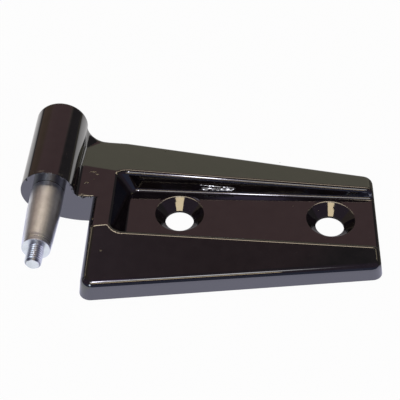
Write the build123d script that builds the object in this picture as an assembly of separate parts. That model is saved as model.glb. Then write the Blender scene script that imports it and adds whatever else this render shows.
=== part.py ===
from build123d import *
import math
import os

# Half of a lift-off door hinge: a cast leaf with its barrel, and the pin fixed in it.
# The origin lies midway between the screw holes on the mounting face.
# +X runs along the leaf to its free end, the pin points to -Y and +Z is the outer side.

# Screw holes
hole_spacing = 47.5
hole_dia = 9.0
countersink_dia = 15.42
countersink_angle = 90.0
countersink_round = 0.35

# Hinge axis, from the first screw hole and the mounting face
axis_to_hole = 40.88
axis_height = 11.68
seat_to_hole_line = 0.72

# Barrel and neck
barrel_dia = 16.92
barrel_length = 34.35
barrel_far_round = 1.0
neck_foot = 11.5
neck_set_in = 1.75
root_round_seat = 1.6
root_round_middle = 2.2
root_round_far = 7.6
root_round_sink = 0.02
root_swell = 8.0

# Leaf outline on the mounting face, and the lean of its sides
root_from_axis = 12.75
leaf_length = 90.75
root_width = 67.5
edge_angle = 8.26
leaf_offset = -0.58
corner_round = 3.5
side_draft = 6.0
end_draft = 11.0

# Leaf heights above the mounting face
land_height = 10.73
root_edge_height = 5.83
end_edge_height = 4.92
bevel_angle = 13.62
edge_round = 2.6
ridge_round = 3.0

# Channel
floor_height = 3.98
channel_floor_width = 22.2
channel_offset = -0.65
channel_from_root = 11.95
side_wall_draft = 16.8
root_wall_draft = 34.3
channel_round = 1.2
channel_corner = 3.0
crest_round = 1.5

# Pin
shank_dia = 9.0
shank_length = 26.0
shank_clearance = 0.02
bearing_dia = 10.2
bearing_length = 9.25
taper_length = 12.05
taper_end_dia = 9.0
lead_length = 2.9
lead_end_dia = 8.6
stud_dia = 5.0
stud_length = 6.1
stud_chamfer = 0.7


def slope(degrees):
    return math.tan(math.radians(degrees))


# Places that follow from the sizes
axis_x = -hole_spacing / 2 - axis_to_hole
seat_y = -seat_to_hole_line
far_y = seat_y + barrel_length
neck_far_y = far_y - neck_set_in
barrel_r = barrel_dia / 2
root_x = axis_x + root_from_axis
end_x = root_x + leaf_length
blank_top = axis_height + barrel_r
root_half = root_width / 2
end_half = root_half - leaf_length * slope(edge_angle)
channel_y = leaf_offset + channel_offset
foot_x = root_x + channel_from_root
floor_half = channel_floor_width / 2
bevel_slope = slope(bevel_angle)
run_slope = (root_edge_height - end_edge_height + bevel_slope * (root_half - end_half)) / leaf_length
seat_plane = Plane(origin=(axis_x, seat_y, axis_height), x_dir=(1, 0, 0), z_dir=(0, -1, 0))


def bevel_z(x, y):
    """Height of the bevel on the side of y."""
    half = abs(y - leaf_offset)
    return root_edge_height + bevel_slope * (root_half - half) - run_slope * (x - root_x)


def top_z(x, y):
    """Height of the land or of the bevel, whichever is lower."""
    return min(land_height, bevel_z(x, y))


def everywhere(edge, test):
    """True where both ends and the middle of an edge pass a test."""
    return all(test(edge @ t) for t in (0.0, 0.5, 1.0))


# Underside of the neck: one arc leaves the mounting face and closes on the barrel
arc_r = (neck_foot**2 + axis_height**2 - barrel_r**2) / (2 * (axis_height - barrel_r))
arc_centre = Vector(neck_foot, arc_r - axis_height)
touch = arc_centre.normalized() * -barrel_r
lowest = Vector(neck_foot, -axis_height)
bisector = ((touch - arc_centre).normalized() + (lowest - arc_centre).normalized()).normalized()
under = make_face(
    [
        ThreePointArc(lowest, arc_centre + bisector * arc_r, touch),
        Polyline(touch, (touch.X, -blank_top), (neck_foot, -blank_top), lowest),
    ]
)

# Leaf blank: a tapered plate with leaning sides that runs on under the barrel
start_x = axis_x - barrel_r
stop_x = end_x + land_height
start_half = root_half + (root_x - start_x) * slope(edge_angle)
stop_half = end_half - (stop_x - end_x) * slope(edge_angle)
corners = [
    (start_x, leaf_offset - start_half),
    (stop_x, leaf_offset - stop_half),
    (stop_x, leaf_offset + stop_half),
    (start_x, leaf_offset + start_half),
]
blank = extrude(make_face(Polyline(*corners, close=True)), land_height, taper=side_draft)

# The plate ends at the free end, on the hinge axis, at the neck's far side and at the seat
end_side = Plane(origin=(end_x, 0, 0), z_dir=(1, 0, slope(end_draft)))
axis_side = Plane(origin=(axis_x, 0, 0), z_dir=(-1, 0, 0))
far_side = Plane(origin=(0, neck_far_y, 0), z_dir=(0, 1, slope(side_draft)))
root_side = Plane(origin=(root_x, 0, 0), z_dir=(-1, 0, slope(side_draft)))
for side in (end_side, axis_side, far_side):
    blank = split(blank, bisect_by=side, keep=Keep.BOTTOM)
beside = Rectangle(leaf_length, root_width, align=(Align.CENTER, Align.MAX))
beside = extrude(Pos(root_x, seat_y) * beside, blank_top)
blank -= split(beside, bisect_by=root_side, keep=Keep.TOP)


# Rounded upright corners at both ends of the front edge and at the back of the free end
def on_root(p):
    return abs(p.X - root_x - p.Z * slope(side_draft)) < 0.01


def on_end(p):
    return abs(p.X - end_x + p.Z * slope(end_draft)) < 0.01


upright = [e for e in blank.edges() if e.bounding_box().size.Z > land_height / 2]
root_corner = ShapeList([e for e in upright if everywhere(e, on_root)]).sort_by(Axis.Y)[0]
end_corners = [e for e in upright if everywhere(e, on_end)]
blank = fillet([root_corner, *end_corners], corner_round)

# Underside of the neck, which runs on past the hinge axis to the barrel
blank -= extrude(seat_plane * under, -barrel_length)
below_axis = make_face(Polyline((0, 0), touch, (touch.X, -blank_top), (0, -blank_top), close=True)) - under
back_y = leaf_offset + root_half + root_from_axis * slope(edge_angle) - axis_height * slope(side_draft)
tongue = extrude(seat_plane * below_axis, seat_y - min(neck_far_y, back_y))

# Two bevels that fall from the flat land to the long edges and the free end
for side in (-1, 1):
    edge_point = (root_x, leaf_offset + side * root_half, root_edge_height)
    bevel_plane = Plane(origin=edge_point, z_dir=(run_slope, side * bevel_slope, 1))
    blank = split(blank, bisect_by=bevel_plane, keep=Keep.BOTTOM)

# The middle of the channel comes out first, and with it the point where the bevels meet
middle_cut = Rectangle(2 * leaf_length, floor_half, align=(Align.MIN, Align.CENTER))
middle_cut = Pos(foot_x + channel_corner, channel_y, floor_height + channel_round) * middle_cut
blank -= extrude(middle_cut, blank_top)


def on_ridge(p):
    return abs(p.Z - land_height) < 0.01 and abs(p.Z - bevel_z(p.X, p.Y)) < 0.01


blank = fillet([e for e in blank.edges() if everywhere(e, on_ridge)], ridge_round)


# Rounded upper edge of the leaf's sides
ridge_drop = ridge_round * (1 / math.cos(math.radians(bevel_angle) / 2) - 1)


def on_top(p):
    return p.Z > top_z(p.X, p.Y) - ridge_drop - 0.01


def on_neck(p):
    return abs(p.Y - seat_y) < 0.01 or abs(p.X - axis_x) < 0.01


def is_side(face):
    """True for the steep faces that stand on the mounting face, apart from the ends of the neck."""
    steep = abs(face.normal_at().Z) < 0.5
    return steep and face.bounding_box().min.Z < 0.01 and not on_neck(face.center())


side_edges = [e for f in blank.faces() if is_side(f) for e in f.edges()]
rim = [e for e in side_edges if everywhere(e, on_top) and not everywhere(e, on_neck)]
blank = fillet(rim, edge_round)

# Channel with drafted walls and rounded corners, open at the free end
channel = extrude(Pos(0, channel_y, floor_height) * Rectangle(3 * leaf_length, root_width), blank_top)
root_wall = Plane(origin=(foot_x, 0, floor_height), z_dir=(1, 0, slope(root_wall_draft)))
channel = split(channel, bisect_by=root_wall, keep=Keep.TOP)
for side in (-1, 1):
    foot = (0, channel_y + side * floor_half, floor_height)
    wall = Plane(origin=foot, z_dir=(0, -side, slope(side_wall_draft)))
    channel = split(channel, bisect_by=wall, keep=Keep.TOP)


def on_floor(p):
    return abs(p.Z - floor_height) < 0.01


def is_open(p):
    return p.X > end_x or p.Z > blank_top


corner_edges = [e for e in channel.edges() if not everywhere(e, is_open) and not everywhere(e, on_floor)]
channel = fillet(corner_edges, channel_corner)
floor_edges = [e for e in channel.edges() if everywhere(e, on_floor) and not everywhere(e, is_open)]
channel = fillet(floor_edges, channel_round)

# Rounded crest all round the channel's mouth and its open end
leaf = blank - channel
leaf = fillet(new_edges(blank, channel, combined=leaf), crest_round)

# Barrel
barrel = extrude(seat_plane * Circle(barrel_r), -barrel_length)
barrel = fillet(barrel.edges().sort_by(Axis.Y)[-1], barrel_far_round)


# Root fillet between the barrel and the top of the leaf, which swells towards the far side
def root_section(y, r, height):
    level = height - axis_height
    centre = Vector(math.sqrt((barrel_r + r) ** 2 - (level + r) ** 2), level + r)
    to_barrel = centre.normalized() * -1
    to_leaf = Vector(0, -1)
    reach = r + root_round_sink
    start = centre + to_barrel * reach
    middle = centre + (to_barrel + to_leaf).normalized() * reach
    end = centre + to_leaf * reach
    inside = Vector(barrel_r / 2, level - root_round_seat)
    section = make_face([ThreePointArc(start, middle, end), Polyline(end, inside, start)])
    return Plane(origin=(axis_x, y, axis_height), x_dir=(1, 0, 0), z_dir=(0, -1, 0)) * section


# The far rim's rounding, an arc between the bevel and the leaning side
tilt = math.radians(bevel_angle)
lean = math.radians(side_draft)
from_bevel = math.sin(tilt) * (leaf_offset + root_half) + math.cos(tilt) * root_edge_height - edge_round
from_side = math.cos(lean) * min(neck_far_y, leaf_offset + root_half) - edge_round
rim_y = (from_side * math.cos(tilt) - from_bevel * math.sin(lean)) / math.cos(tilt + lean)
rim_z = (from_bevel * math.cos(lean) - from_side * math.sin(tilt)) / math.cos(tilt + lean)
turns = [tilt + (math.pi / 2 - lean - tilt) * k / 8 for k in range(9)]
rim_points = [(rim_y + edge_round * math.sin(a), rim_z + edge_round * math.cos(a)) for a in turns]

ridge_y = leaf_offset + root_half - (land_height - root_edge_height) / bevel_slope
swell_y = neck_far_y - root_swell
steps = [swell_y + (rim_points[0][0] - swell_y) * k / 6 for k in range(6)]
swell_points = [(y, top_z(root_x, y)) for y in steps] + rim_points
sections = [root_section(y, root_round_seat, top_z(root_x, y)) for y in (seat_y, ridge_y)]
for y, height in swell_points:
    part = (y - swell_y) / (rim_points[-1][0] - swell_y)
    r = root_round_middle + (root_round_far - root_round_middle) * part**2
    sections += [root_section(y, r, height)]
root_fillet = loft(sections, ruled=True)
leaf = leaf + tongue + barrel + root_fillet

# Countersunk screw holes
hole_r = hole_dia / 2
cone_rate = slope(countersink_angle / 2)
drill_top = floor_height + channel_round
mouth_r = countersink_dia / 2 + channel_round * cone_rate
cone_foot = floor_height - (countersink_dia / 2 - hole_r) / cone_rate
drill_profile = Polyline(
    (0, 0, -floor_height),
    (hole_r, 0, -floor_height),
    (hole_r, 0, cone_foot),
    (mouth_r, 0, drill_top),
    (0, 0, drill_top),
    close=True,
)
drill = revolve(make_face(drill_profile), Axis.Z)
for x in (-hole_spacing / 2, hole_spacing / 2):
    leaf -= Pos(x, 0, 0) * drill


def on_countersink(p):
    x = abs(p.X) - hole_spacing / 2
    return on_floor(p) and abs(math.hypot(x, p.Y) - countersink_dia / 2) < 0.01


leaf = fillet([e for e in leaf.edges() if everywhere(e, on_countersink)], countersink_round)

# Blind bore for the shank of the pin
bore = extrude(seat_plane * Circle(shank_dia / 2 + shank_clearance), -shank_length)
leaf -= bore

# Pin: shank, straight bearing, taper, lead-in and threaded stud, turned in one piece
taper_start = -bearing_length
lead_start = taper_start - taper_length
lead_end = lead_start - lead_length
stud_end = lead_end - stud_length
turned = Polyline(
    (0, shank_length),
    (shank_dia / 2, shank_length),
    (shank_dia / 2, 0),
    (bearing_dia / 2, 0),
    (bearing_dia / 2, taper_start),
    (taper_end_dia / 2, lead_start),
    (lead_end_dia / 2, lead_end),
    (stud_dia / 2, lead_end),
    (stud_dia / 2, stud_end + stud_chamfer),
    (stud_dia / 2 - stud_chamfer, stud_end),
    (0, stud_end),
    close=True,
)
pin = Pos(axis_x, seat_y, axis_height) * revolve(make_face(turned), Axis.Y)

os.makedirs("parts", exist_ok=True)
for name, solid in (("hinge_leaf", leaf), ("hinge_pin", pin)):
    solid.label = name
    export_step(solid, f"parts/{name}.step")
    print(name, len(solid.solids()), "solid", round(solid.volume, 1), "mm3", solid.is_valid)
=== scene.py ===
import math

import bpy
import numpy as np
from mathutils import Matrix, Vector


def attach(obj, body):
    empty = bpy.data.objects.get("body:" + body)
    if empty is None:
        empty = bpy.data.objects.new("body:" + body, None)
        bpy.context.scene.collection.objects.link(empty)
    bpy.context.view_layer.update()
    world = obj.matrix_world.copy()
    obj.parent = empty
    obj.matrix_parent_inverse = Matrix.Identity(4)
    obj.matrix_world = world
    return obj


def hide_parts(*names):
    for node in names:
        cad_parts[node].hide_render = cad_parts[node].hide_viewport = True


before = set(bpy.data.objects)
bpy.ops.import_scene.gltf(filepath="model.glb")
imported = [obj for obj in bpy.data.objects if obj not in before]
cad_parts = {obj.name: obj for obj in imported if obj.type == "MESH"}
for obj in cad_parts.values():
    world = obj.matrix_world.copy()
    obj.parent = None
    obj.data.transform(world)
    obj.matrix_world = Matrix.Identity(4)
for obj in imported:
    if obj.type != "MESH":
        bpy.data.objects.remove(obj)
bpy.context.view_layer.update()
MM = 0.001

# Sizes that the looks share with the part, in millimetres
AXIS_X, SEAT_Y, AXIS_Z = -64.63, -0.72, 11.68  # hinge axis, and the barrel's end face that the pin stands on
BARREL_R = 8.46
LAND_Z, NECK_X = 10.73, -50.80  # top of the land, end of the neck
FLOOR_Z, WALL_FOOT_Y = 3.98, 9.87  # channel floor, foot of the channel's back wall
WALL_DRAFT = 16.8  # lean of that wall, in degrees
BEVEL_RUN, BEVEL_FALL = 0.0452, 0.2423  # slopes of the bevels, along X and across
HOLE_X = 23.75

# The pin: places along Y from the seat, then radii, then the thread
SHANK_END, TAPER_FROM, LEAD_FROM, PIN_FACE, PIN_TIP = 26.0, -9.25, -21.30, -24.20, -30.30
SHANK_R, BEARING_R, LEAD_R, FACE_R, TIP_R = 4.5, 5.1, 4.5, 4.3, 1.8
PITCH, CREST_R, ROOT_R = 0.8, 2.5, 2.12

PAINT_IOR = 2.1


# Shader building

class Value:
    """A number socket of a node tree; arithmetic on it adds Math nodes."""

    def __init__(self, tree, socket):
        self.tree, self.socket = tree, socket

    def math(self, operation, *others):
        node = self.tree.add("ShaderNodeMath", {"operation": operation}, dict(enumerate((self, *others))))
        return Value(self.tree, node.outputs[0])

    def __add__(self, other):
        return self.math("ADD", other)

    __radd__ = __add__

    def __sub__(self, other):
        return self.math("SUBTRACT", other)

    def __rsub__(self, other):
        return -self + other

    def __mul__(self, other):
        return self.math("MULTIPLY", other)

    __rmul__ = __mul__

    def __truediv__(self, other):
        return self.math("DIVIDE", other)

    def __rtruediv__(self, other):
        return self.math("POWER", -1.0) * other

    def __neg__(self):
        return self.math("MULTIPLY", -1.0)

    def step(self, low, high):
        """Smooth step from 0 at low to 1 at high."""
        node = self.tree.add(
            "ShaderNodeMapRange",
            {"interpolation_type": "SMOOTHSTEP"},
            {"Value": self, "From Min": low, "From Max": high},
        )
        return Value(self.tree, node.outputs["Result"])

    def band(self, low, high, soft):
        """1 between low and high, falling to 0 over a soft edge."""
        return self.step(low - soft, low + soft) * (1.0 - self.step(high - soft, high + soft))


class Tree:
    """A node tree being filled."""

    def __init__(self, tree):
        self.tree = tree
        tree.nodes.clear()

    def put(self, slot, item):
        if isinstance(item, Value):
            item = item.socket
        if isinstance(item, bpy.types.NodeSocket):
            self.tree.links.new(item, slot)
        else:
            slot.default_value = item

    def add(self, kind, settings=None, inputs=None):
        """A node: its settings are made first, then its sockets are filled by name or number."""
        node = self.tree.nodes.new(kind)
        for name, setting in (settings or {}).items():
            setattr(node, name, setting)
        for name, item in (inputs or {}).items():
            self.put(node.inputs[name], item)
        return node

    def show(self, shader, kind="ShaderNodeOutputMaterial"):
        """Sends a shader to the tree's output."""
        self.add(kind, None, {"Surface": shader.outputs[0]})

    def split(self, vector):
        node = self.add("ShaderNodeSeparateXYZ", None, {"Vector": vector})
        return [Value(self, out) for out in node.outputs]

    def blend(self, factor, first, second):
        """Colour blend from first to second."""
        return self.add("ShaderNodeMix", {"data_type": "RGBA"}, {0: factor, 6: first, 7: second}).outputs[2]

    def noise(self, vector, scale, detail=2.0, rough=0.5):
        node = self.add(
            "ShaderNodeTexNoise",
            None,
            {"Vector": vector, "Scale": scale, "Detail": detail, "Roughness": rough},
        )
        return Value(self, node.outputs[0])

    def part_mm(self):
        """Object coordinates in millimetres."""
        coords = self.add("ShaderNodeTexCoord").outputs["Object"]
        node = self.add("ShaderNodeVectorMath", {"operation": "SCALE"}, {"Vector": coords, "Scale": 1000.0})
        return node.outputs[0]

    def stretched(self, vector, factors):
        node = self.add("ShaderNodeVectorMath", {"operation": "MULTIPLY"}, {0: vector, 1: factors})
        return node.outputs[0]


def rgb(r, g, b):
    return (r, g, b, 1.0)


def new_material(name):
    material = bpy.data.materials.new(name)
    material.use_nodes = True
    return material, Tree(material.node_tree)


def black_paint():
    """Gloss black stoving enamel: a dark base under a strong clear surface, with faint flow marks and dust."""
    material, t = new_material("black_paint")
    thick, thin, grey = rgb(0.0020, 0.0012, 0.0016), rgb(0.0085, 0.0065, 0.0070), rgb(0.10, 0.09, 0.08)
    place = t.part_mm()
    cloud = t.noise(place, 0.25, 3.0, 0.6)
    fine = t.noise(place, 1.6, 3.0)
    flow = t.noise(place, 0.22, 2.0)
    specks = t.noise(place, 5.0, 1.0).step(0.70, 0.78)
    colour = t.blend(cloud.step(0.3, 0.7), thick, thin)
    colour = t.blend(specks * 0.25, colour, grey)
    bump = t.add(
        "ShaderNodeBump",
        None,
        {"Strength": 0.025, "Distance": 0.0004, "Height": flow * 0.8 + fine * 0.06},
    )
    shader = t.add(
        "ShaderNodeBsdfPrincipled",
        None,
        {
            "Base Color": colour,
            "Roughness": 0.03 + fine * 0.03 + specks * 0.1,
            "IOR": PAINT_IOR,
            "Normal": bump.outputs[0],
        },
    )
    t.show(shader)
    return material


def turned_steel():
    """Bare turned steel with fine rings round the axis, a smoother lead-in and darker colour in the thread's
    grooves.

    A thin edge of paint laps onto the pin's foot.
    """
    material, t = new_material("turned_steel")
    bright, stained, rubbed = rgb(0.73, 0.75, 0.79), rgb(0.61, 0.63, 0.66), rgb(0.79, 0.81, 0.84)
    groove_dark, black = rgb(0.12, 0.12, 0.13), rgb(0.006, 0.005, 0.005)
    place = t.part_mm()
    rings = t.noise(t.stretched(place, (0.05, 3.0, 0.05)), 1.0, 4.0, 0.6)
    streak = t.noise(t.stretched(place, (0.8, 0.12, 0.8)), 1.0, 2.0)
    stain = t.noise(place, 0.5, 3.0)
    x, y, z = t.split(place)
    lap = t.noise(place, 1.2, 2.0) * 0.3 - 0.15
    paint = (y + lap).step(SEAT_Y - 0.2, SEAT_Y - 0.1)
    colour = t.blend(stain.step(0.35, 0.75), bright, stained)
    colour = t.blend(streak * 0.4, colour, rubbed)
    lead_in = 1.0 - y.step(SEAT_Y + LEAD_FROM - 0.1, SEAT_Y + LEAD_FROM + 0.1)
    on_stud = 1.0 - y.step(SEAT_Y + PIN_FACE - 0.10, SEAT_Y + PIN_FACE - 0.02)
    off_tip = y.step(SEAT_Y + PIN_TIP + 0.05, SEAT_Y + PIN_TIP + 0.15)
    height = z - AXIS_Z
    across = x - AXIS_X
    # Darker colour at the roots of the thread's grooves
    groove = 1.0 - (across * across + height * height).math("SQRT").step(ROOT_R + 0.04, ROOT_R + 0.22)
    colour = t.blend(groove * on_stud * off_tip * 0.7, colour, groove_dark)
    bump = t.add("ShaderNodeBump", None, {"Strength": 0.3, "Distance": 0.00005, "Height": rings})
    shader = t.add(
        "ShaderNodeBsdfPrincipled",
        None,
        {
            "Base Color": t.blend(paint, colour, black),
            "Metallic": 1.0 - paint,
            "Roughness": (0.35 + rings * 0.14 - lead_in * 0.13) * (1.0 - paint * 0.7),
            "IOR": PAINT_IOR,
            "Normal": bump.outputs[0],
        },
    )
    t.show(shader)
    return material


def dust():
    """Pale dust and lint caught on the paint."""
    material, t = new_material("dust")
    grain = t.noise(t.part_mm(), 2.5, 2.0)
    colour = t.blend(grain.step(0.4, 0.6), rgb(0.05, 0.045, 0.03), rgb(0.30, 0.26, 0.18))
    t.show(t.add("ShaderNodeBsdfPrincipled", None, {"Base Color": colour, "Roughness": 0.5 + grain * 0.2}))
    return material


def white_floor():
    """White sheet: plain white to the eye, with the part's shadow.

    Mirrored in the part it shows painted reflection tones, a little blue in front and white under the pin, and
    painted shade: darker away behind the part and in the screw holes, with a painted shadow beside the free end.
    """
    material, t = new_material("white_floor")
    path = t.add("ShaderNodeLightPath")
    rays = ("Is Camera Ray", "Is Glossy Ray", "Is Transmission Ray")
    eye, glossy, through = (Value(t, path.outputs[name]) for name in rays)
    factor = (eye + glossy + through).math("MINIMUM", 1.0) * 0.97
    place = t.part_mm()
    x, y, _ = t.split(place)
    # Painted reflection tone: the mirrored sheet is a little blue in front
    mirrored = t.blend(y.step(-5.0, 20.0), rgb(0.95, 0.95, 1.2), rgb(1.0, 0.98, 0.98))
    # Painted shade: the mirrored sheet darkens away behind the part
    mirrored = t.blend(y.step(55.0, 170.0), mirrored, rgb(0.10, 0.085, 0.085))
    # Painted shadow of the part on the sheet beside the free end, seen only in reflections
    painted_shadow_beside_end = x.step(28.0, 42.0) * y.step(-20.0, -12.0)
    mirrored = t.blend(painted_shadow_beside_end, mirrored, rgb(0.12, 0.11, 0.09))
    # Painted shade in the screw holes, seen only in reflections
    off_hole = x.math("ABSOLUTE") - HOLE_X
    painted_shade_in_hole = 1.0 - (off_hole * off_hole + y * y).math("SQRT").step(4.3, 5.5)
    mirrored = t.blend(painted_shade_in_hole, mirrored, rgb(0.16, 0.15, 0.16))
    # Painted reflection tone: the mirrored sheet stays white under the pin
    under_pin = (1.0 - x.step(-58.0, -50.0)) * (1.0 - y.step(-34.0, -24.0))
    mirrored = t.blend(under_pin, mirrored, rgb(0.98, 1.01, 1.06))
    seen = t.blend(glossy, rgb(1.0, 1.0, 1.0), mirrored)
    paper = t.blend(t.noise(place, 0.05, 2.0), rgb(0.86, 0.86, 0.86), rgb(0.9, 0.9, 0.9))
    lit = t.add("ShaderNodeBsdfDiffuse", None, {"Color": paper})
    plain = t.add("ShaderNodeEmission", None, {"Color": seen, "Strength": 1.0})
    t.show(t.add("ShaderNodeMixShader", None, {0: factor, 1: lit.outputs[0], 2: plain.outputs[0]}))
    return material


# Surfaces

def ring_quads(n, m, closed=False):
    """Quads between n rings of m points, each ring closed; where closed, the last ring also joins the first."""
    i, j = np.meshgrid(np.arange(n if closed else n - 1), np.arange(m), indexing="ij")
    i_on, j_on = (i + 1) % n, (j + 1) % m
    return np.stack([i * m + j, i_on * m + j, i_on * m + j_on, i * m + j_on], -1).reshape(-1, 4)


def end_fans(n, m):
    """Triangles that close the first and the last of n rings of m points on two more points, one at each end."""
    ring = np.arange(m)
    after = (ring + 1) % m
    last = (n - 1) * m
    first_fan = np.stack([np.full(m, n * m), ring, after], -1)
    last_fan = np.stack([np.full(m, n * m + 1), last + after, last + ring], -1)
    return np.vstack([first_fan, last_fan])


def piece_from(name, points, faces, material):
    """A smooth piece from points in millimetres."""
    mesh = bpy.data.meshes.new(name)
    mesh.from_pydata((points * MM).tolist(), [], faces)
    mesh.shade_smooth()
    mesh.update()
    mesh.materials.append(material)
    piece = bpy.data.objects.new(name, mesh)
    bpy.context.scene.collection.objects.link(piece)
    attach(piece, "root")
    return piece


def surface(name, rows, material):
    """A closed surface from a grid of points rows[i, j], with j running round and each end closed on its middle."""
    n, m = rows.shape[:2]
    points = np.vstack([rows.reshape(-1, 3), rows[0].mean(0), rows[-1].mean(0)])
    return piece_from(name, points, ring_quads(n, m).tolist() + end_fans(n, m).tolist(), material)


def waves(t, seed, count=6, low=0.6, high=5.0):
    """A smooth irregular curve between 0 and 1: a sum of sines with fixed phases."""
    chance = np.random.default_rng(seed)
    rate = np.linspace(low, high, count)
    phase = chance.uniform(0, 2 * np.pi, count)
    curve = np.sin(t[:, None] * rate + phase).sum(1) / count
    return 0.5 + 0.5 * np.clip(curve * 1.8, -1, 1)


def paint_bead(material):
    """Bead of thick paint on the edge of the seat, from the barrel over the root round to the end of the neck.

    Rings p(s) - sink up + radius (cos a across + sin a up), where p runs along the edge, up points out of the
    leaf and across points away from the seat; the radius swells and thins along the way.
    """
    round_r = 1.6
    level = LAND_Z - AXIS_Z
    centre = np.array([math.sqrt((BARREL_R + round_r) ** 2 - (level + round_r) ** 2), level + round_r])
    meet = math.atan2(centre[0], centre[1])
    rim = np.linspace(math.radians(-70), meet, 260)
    over = np.stack([np.sin(rim), np.cos(rim)], -1)
    bend = np.linspace(1.5 * np.pi - meet, 1.5 * np.pi, 60)[1:]
    down = np.stack([np.cos(bend), np.sin(bend)], -1)
    along = np.linspace(centre[0], NECK_X - AXIS_X, 90)[1:]
    flat = np.stack([along, np.full_like(along, level)], -1)
    edge = np.vstack([over * BARREL_R, centre + down * round_r, flat])
    up = np.vstack([over, -down, np.tile([0.0, 1.0], (len(along), 1))])
    s = np.cumsum(np.concatenate([[0], np.linalg.norm(np.diff(edge, axis=0), axis=1)]))
    root, neck = s[len(rim) - 1], s[len(rim) + 30]
    radius = 0.06 + 0.34 * waves(s, 5, 7, 0.8, 4.0) ** 3 + 0.22 * np.exp(-(((s - root) / 2.5) ** 2))
    radius += 0.30 * waves(s, 11, 7, 2.0, 7.0) * np.clip(s - neck, 0, 1)
    radius *= np.clip(np.minimum(s, s[-1] - s) / 0.6, 0.1, 1.0)
    edge = edge - up * (0.6 * radius[:, None] + 0.02)
    edge[: len(rim)] -= 0.4 * up[: len(rim)] * radius[: len(rim), None]
    a = np.linspace(0, 2 * np.pi, 14, endpoint=False)
    turn = radius[:, None] * np.sin(a)
    rows = np.stack(
        [
            AXIS_X + edge[:, :1] + turn * up[:, :1],
            SEAT_Y - radius[:, None] * np.cos(a),
            AXIS_Z + edge[:, 1:] + turn * up[:, 1:],
        ],
        -1,
    )
    return surface("paint_bead", rows, material)


def paint_sag(material):
    """Sagged paint on the channel's back wall: low ridges that wander along the wall.

    The skin is wall(x, s) + h out, with h a sum of curtains 0.81 (line(x) - s) that swell down from lines which
    wander with x and end in a steep lower edge; where h is below nothing the skin lies under the wall.
    """
    slope, drop, sunk, backing = 0.81, 0.09, 0.03, 0.2
    lean = math.radians(WALL_DRAFT)
    climb = np.array([0.0, math.sin(lean), math.cos(lean)])
    out = np.array([0.0, -math.cos(lean), math.sin(lean)])
    x = np.linspace(-18.5, -5.5, 220)
    s = np.linspace(0.5, 3.7, 120)
    fade = np.clip(np.minimum(x - x[0], x[-1] - x) / 2.5, 0, 1)
    curtains = [  # height of the line, its fall along x, how far it wanders, seeds of its wander and its swell
        (2.85, -0.055, 0.10, 3, 4),
        (1.85, -0.010, 0.12, 7, 8),
        (1.25, 0.010, 0.08, 9, 6),
    ]
    h = np.full((len(x), len(s)), -sunk)
    for start, fall, wander, line_seed, swell_seed in curtains:
        line = start + fall * (x - x[0]) + wander * (waves(x, line_seed, 6, 0.4, 2.4) - 0.5)
        deep = (0.08 + 0.20 * waves(x, swell_seed, 5, 0.8, 4.0) * fade)[:, None]
        below = line[:, None] - s[None]
        curtain = np.clip(slope * below, 0, None) * (1 - np.clip((below - deep) / drop, 0, 1))
        h += curtain * (below < deep + drop)
    h -= 0.06 * (1 - fade)[:, None]
    h[:, 0] = h[:, -1] = -0.05
    foot = np.array([0.0, WALL_FOOT_Y, FLOOR_Z])
    rise = foot + s[:, None] * climb
    skin = rise[None] + h[..., None] * out
    skin[..., 0] = x[:, None]
    back = np.broadcast_to((rise - backing * out)[None], skin.shape).copy()
    back[..., 0] = x[:, None]
    return surface("paint_sag", np.concatenate([skin, back[:, ::-1]], 1), material)


def lumps(name, centre, normal, size, stretch, height, material):
    """Flat balls half sunk in a surface: p + size (stretch ball across, ball along, height ball up the normal)."""
    normal = normal / np.linalg.norm(normal, axis=1, keepdims=True)
    across = np.cross((0.0, 1.0, 0.0), normal)
    across /= np.linalg.norm(across, axis=1, keepdims=True)
    other = np.cross(normal, across)
    n, m = 9, 16
    polar = np.radians(np.linspace(8, 172, n))[:, None]
    turn = np.linspace(0, 2 * np.pi, m, endpoint=False)[None]
    ball = np.stack([np.sin(polar) * np.cos(turn), np.sin(polar) * np.sin(turn), np.cos(polar) + 0 * turn], -1)
    ball = np.vstack([ball.reshape(-1, 3), [0, 0, 1], [0, 0, -1]])
    frames = np.stack([across * stretch[:, None], other, normal * height], 1)
    points = centre[:, None] + size[:, None, None] * (ball @ frames)
    shift = (np.arange(len(size)) * len(ball))[:, None, None]
    quads = (ring_quads(n, m) + shift).reshape(-1, 4)
    fans = (end_fans(n, m) + shift).reshape(-1, 3)
    return piece_from(name, points.reshape(-1, 3), quads.tolist() + fans.tolist(), material)


def flecks(material):
    """Flecks of dust on the paint of the land, the bevels and the channel floor: place, normal, size, stretch."""
    top, back, front = (0.0, 0.0, 1.0), (BEVEL_RUN, BEVEL_FALL, 1.0), (BEVEL_RUN, -BEVEL_FALL, 1.0)
    grains = [
        ((-51.84, 10.54, 10.72), top, 0.36, 3.0),
        ((-50.50, 9.50, 10.72), top, 0.30, 2.0),
        ((-53.25, 5.52, LAND_Z), top, 0.30, 2.2),
        ((-53.84, 5.17, LAND_Z), top, 0.26, 1.0),
        ((-51.22, 7.07, LAND_Z), top, 0.24, 1.5),
        ((-46.01, -21.65, 8.60), front, 0.32, 1.6),
        ((-49.62, -10.61, 10.72), top, 0.22, 1.0),
        ((-30.00, 27.0, 6.55), back, 0.16, 1.0),
        ((8.00, 24.0, 5.55), back, 0.15, 1.0),
        ((12.0, 5.2, FLOOR_Z), top, 0.18, 1.0),
        ((20.0, 3.6, FLOOR_Z), top, 0.16, 1.0),
    ]
    centre, normal, size, stretch = (np.array(column) for column in zip(*grains))
    return lumps("dust_flecks", centre, normal, size, stretch, 0.3, material)


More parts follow.
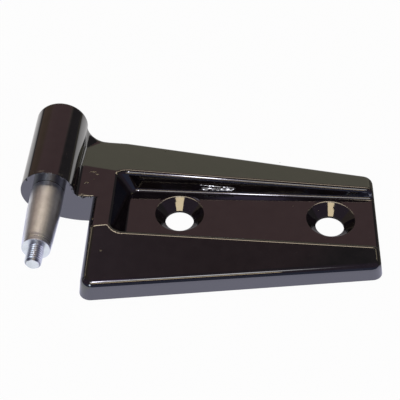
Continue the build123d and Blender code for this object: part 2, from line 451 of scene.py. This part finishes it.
def paint_nibs(material):
    """Flat lumps of paint on the edge of the seat, leaning a little toward the seat."""
    lean, sunk, flat = -0.11, 0.03, 0.12
    turn = np.radians([-22.0, -17.0, -13.0, -6.0, 30.0, 36.0])
    over = np.stack([np.sin(turn), np.full_like(turn, lean), np.cos(turn)], -1)
    in_from_rim = np.array([0.9, 0.7, 0.8, 0.7, 0.6, 0.8])
    on_barrel = np.stack(
        [
            AXIS_X + BARREL_R * np.sin(turn),
            SEAT_Y + in_from_rim,
            AXIS_Z + (BARREL_R - sunk) * np.cos(turn),
        ],
        -1,
    )
    along = np.array([-54.9, -54.2, -53.6, -52.9, -52.3, -51.8, -51.3, -50.9])
    in_from_edge = np.array([0.30, 0.85, 0.35, 0.60, 0.25, 0.45, 0.30, 0.50])
    on_neck = np.stack([along, SEAT_Y + in_from_edge, np.full_like(along, LAND_Z)], -1)
    level = np.tile([0.0, lean, 1.0], (len(along), 1))
    barrel_size = [0.42, 0.34, 0.40, 0.32, 0.30, 0.36]
    neck_size = [0.50, 0.36, 0.54, 0.42, 0.52, 0.42, 0.50, 0.36]
    size = np.array(barrel_size + neck_size)
    stretch = np.tile([1.7, 1.2, 1.5, 1.0], 4)[: len(size)]
    centre, normal = np.vstack([on_barrel, on_neck]), np.vstack([over, level])
    return lumps("paint_nibs", centre, normal, size, stretch, flat, material)


def paint_rims(material):
    """Fat edge of paint round the two countersinks: a profile (radius, height) turned about each hole.

    The top climbs out of the channel floor, crowns 0.02 mm above it and rolls over toward the hole along
    height = crown - (crown radius - radius)^2 / (2 roll); the rest lies under the paint.
    """
    crown_r, crown, roll, rim_r = 8.25, 0.02, 4.0, 7.70
    inner = np.linspace(crown_r, rim_r, 14)
    top = np.stack([inner, crown - (crown_r - inner) ** 2 / (2 * roll)], -1)
    outer = [(9.3, -0.034), (9.1, -0.0195), (8.9, -0.0095), (8.6, 0.0055), (8.45, 0.0130), (8.35, 0.0175)]
    under = [(7.66, -0.04), (7.60, -0.16), (7.80, -0.30), (9.3, -0.30)]
    radius, height = np.vstack([outer, top, under]).T
    turn = np.linspace(0, 2 * np.pi, 180, endpoint=False)[:, None]
    n, m = len(turn), len(radius)
    ring = np.stack([radius * np.cos(turn), radius * np.sin(turn), FLOOR_Z + height + 0 * turn], -1).reshape(-1, 3)
    points = np.vstack([ring + (-HOLE_X, 0.0, 0.0), ring + (HOLE_X, 0.0, 0.0)])
    quads = ring_quads(n, m, closed=True)
    return piece_from("paint_rims", points, np.vstack([quads, quads + n * m]).tolist(), material)


def turned_pin(material):
    """The pin as a surface of revolution r(y, angle) about the hinge axis.

    The plain lengths follow the turned profile less depth(y) (1 + cos(2 pi y / mark)) / 2, the marks of the tool,
    with coarser marks on the lead-in and a small rounding at the end face. Along the stud the radius is
    r = root + (crest - root) tooth(y / pitch - angle / turn), a rounded rolled thread, kept inside the cone of the
    tip's chamfer.
    """
    edge, mark = 0.18, 0.3
    lead_mark, lead_depth = 0.72, 0.075
    cut = np.linspace(-0.02, PIN_FACE + edge, 640)
    turned = np.interp(-cut, [0.0, -TAPER_FROM, -LEAD_FROM, -PIN_FACE], [BEARING_R, BEARING_R, LEAD_R, FACE_R])
    depth = 0.006 + 0.010 * waves(cut, 2, 9, 0.7, 7.0)
    turned = turned - depth * (0.5 + 0.5 * np.cos(2 * np.pi * cut / mark))
    coarse = lead_depth * (0.5 - 0.5 * np.cos(2 * np.pi * (cut - LEAD_FROM) / lead_mark))
    turned = turned - np.where(cut < LEAD_FROM, coarse, 0.0)
    bend = np.radians(np.linspace(0, 90, 6))
    rounding = zip(PIN_FACE + edge - edge * np.sin(bend), FACE_R - edge + edge * np.cos(bend))
    foot = [(SHANK_END, SHANK_R), (0.0, SHANK_R), (0.0, BEARING_R - 0.02)]
    end = [(PIN_FACE, 4.1), (PIN_FACE, 3.4), (PIN_FACE, 2.75), (PIN_FACE - 0.02, 2.62)]
    plain = np.array([*foot, *zip(cut, turned), *rounding, *end])
    stud = np.linspace(PIN_FACE - 0.04, PIN_TIP, 200)
    angle = np.linspace(0, 2 * np.pi, 96, endpoint=False)
    y = np.concatenate([plain[:, 0], stud])
    phase = np.mod(stud[:, None] / PITCH - angle[None] / (2 * np.pi), 1.0)
    tooth = 0.5 - 0.5 * np.cos(2 * np.pi * phase)
    thread = ROOT_R + (CREST_R - ROOT_R) * tooth
    thread = np.minimum(thread, TIP_R + (stud[:, None] - PIN_TIP))
    radius = np.vstack([np.repeat(plain[:, 1:], len(angle), 1), thread])
    points = np.stack(
        [
            AXIS_X + radius * np.sin(angle),
            np.broadcast_to(SEAT_Y + y[:, None], radius.shape),
            AXIS_Z + radius * np.cos(angle),
        ],
        -1,
    )
    piece = surface("turned_pin", points, material)
    piece.data.set_sharp_from_angle(angle=math.radians(40))
    return piece


# Looks of the pieces

paint = black_paint()
steel = turned_steel()
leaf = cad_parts["hinge_leaf"]
leaf.data.materials.clear()
leaf.data.materials.append(paint)

pin = turned_pin(steel)
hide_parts("hinge_pin")

for make in (paint_bead, paint_sag, paint_nibs, paint_rims):
    piece = make(paint)
piece = flecks(dust())

# Floor, a hair below the part

FLOOR_HALF, FLOOR_DROP = 4, 0.00005
corners = [(-FLOOR_HALF, -FLOOR_HALF, 0), (FLOOR_HALF, -FLOOR_HALF, 0)]
corners += [(FLOOR_HALF, FLOOR_HALF, 0), (-FLOOR_HALF, FLOOR_HALF, 0)]
floor_mesh = bpy.data.meshes.new("floor")
floor_mesh.from_pydata(corners, [], [(0, 1, 2, 3)])
floor_mesh.materials.append(white_floor())
floor = bpy.data.objects.new("floor", floor_mesh)
floor.location = (0, 0, -FLOOR_DROP)
bpy.context.scene.collection.objects.link(floor)


# Studio light

def studio():
    """The room by direction: 'around' climbs from the wall behind the part over the ceiling to the camera's side.

    'around' is in degrees, 0 at the floor behind the part and 90 overhead. 'x' is the direction's own X, and
    'side' its X along the floor. The room darkens from the wall to the ceiling, and its lamps run along X.
    """
    world = bpy.data.worlds.new("studio")
    world.use_nodes = True
    bpy.context.scene.world = world
    t = Tree(world.node_tree)
    x, y, z = t.split(t.add("ShaderNodeTexCoord").outputs["Generated"])
    around = z.math("ARCTAN2", y) * (180.0 / math.pi)
    side = x / (x * x + y * y).math("SQRT")
    off_middle = side.math("ABSOLUTE")

    # Even brown wall, over a hall that is brown on the left and olive on the right
    hall = t.blend(x.step(-0.50, -0.25), rgb(0.21, 0.15, 0.115), rgb(0.355, 0.34, 0.265))
    room = t.blend(around.step(24.0, 36.0), hall, rgb(0.255, 0.165, 0.17))

    # Top of the wall, a little darker toward the right
    top = t.blend(x.step(-0.08, 0.08), rgb(0.15, 0.11, 0.13), rgb(0.115, 0.083, 0.092))
    room = t.blend(around.step(58.0, 68.0), room, top)

    # Dark ends of the room, and its ceiling
    room = t.blend(side.step(0.46, 0.56), room, rgb(0.07, 0.065, 0.07))
    room = t.blend((-side).step(0.68, 0.80), room, rgb(0.13, 0.105, 0.09))
    room = t.blend(around.step(78.0, 100.0), room, rgb(0.11, 0.085, 0.12))

    # Tan beam along the wall, weaker toward its ends
    beam = t.blend(off_middle.step(0.36, 0.50), rgb(5.4, 4.6, 3.4), rgb(2.5, 2.1, 1.45))
    room = t.blend(around.band(54.0, 60.0, 0.8) * (1.0 - off_middle.step(0.80, 0.95)), room, beam)

    # Camera's side: bluish dark with a fill light on the left
    room = t.blend(around.step(140.0, 155.0), room, rgb(0.11, 0.125, 0.21))
    fill = around.band(143.0, 162.0, 4.0) * x.band(-0.34, -0.11, 0.03)
    room = t.blend(fill, room, rgb(4.0, 4.5, 5.2))

    # Strip lamp over the part, with a glow round its bulb
    strip = around.band(110.0, 119.0, 2.0)
    room = t.blend(strip * x.band(-0.15, 0.24, 0.05), room, rgb(3.8, 3.8, 3.9))
    glow = around.band(101.0, 123.0, 5.0) * x.band(-0.008, 0.056, 0.02)
    room = t.blend(glow * 0.3, room, rgb(3.4, 2.7, 4.8))
    bulb = around.band(108.0, 119.0, 2.0) * x.band(0.008, 0.045, 0.010)
    room = t.blend(bulb, room, rgb(24.0, 24.0, 26.5))

    t.show(t.add("ShaderNodeBackground", None, {"Color": room, "Strength": 1.0}), "ShaderNodeOutputWorld")


studio()

# Camera at the photo's place

EYE = Vector((-9.396, -234.652, 235.589)) * MM
LOOK = Vector((-0.02452, 0.72095, -0.69255)).normalized()
UP = Vector((-0.03618, 0.69166, 0.72131)).normalized()
camera_data = bpy.data.cameras.new("camera")
camera_data.sensor_width = 36.0
camera_data.lens = 94.262
camera_data.clip_start, camera_data.clip_end = 0.01, 20.0
camera = bpy.data.objects.new("camera", camera_data)
right = LOOK.cross(UP).normalized()
camera.matrix_world = Matrix.Translation(EYE) @ Matrix((right, right.cross(LOOK), -LOOK)).transposed().to_4x4()
bpy.context.scene.collection.objects.link(camera)
bpy.context.scene.camera = camera

# Small warm lamp just behind and above the camera, facing as it does

lamp_data = bpy.data.lights.new("warm_lamp", "AREA")
lamp_data.shape = "RECTANGLE"
lamp_data.size, lamp_data.size_y = 0.21, 0.024
lamp_data.energy = 0.070
lamp_data.color = (1.0, 0.82, 0.52)
lamp = bpy.data.objects.new("warm_lamp", lamp_data)
lamp.location = EYE - LOOK * 0.02 + UP * 0.0114
lamp.rotation_mode = "QUATERNION"
lamp.rotation_quaternion = LOOK.to_track_quat("-Z", "Y")
bpy.context.scene.collection.objects.link(lamp)

scene = bpy.context.scene
scene.view_settings.view_transform = "Standard"
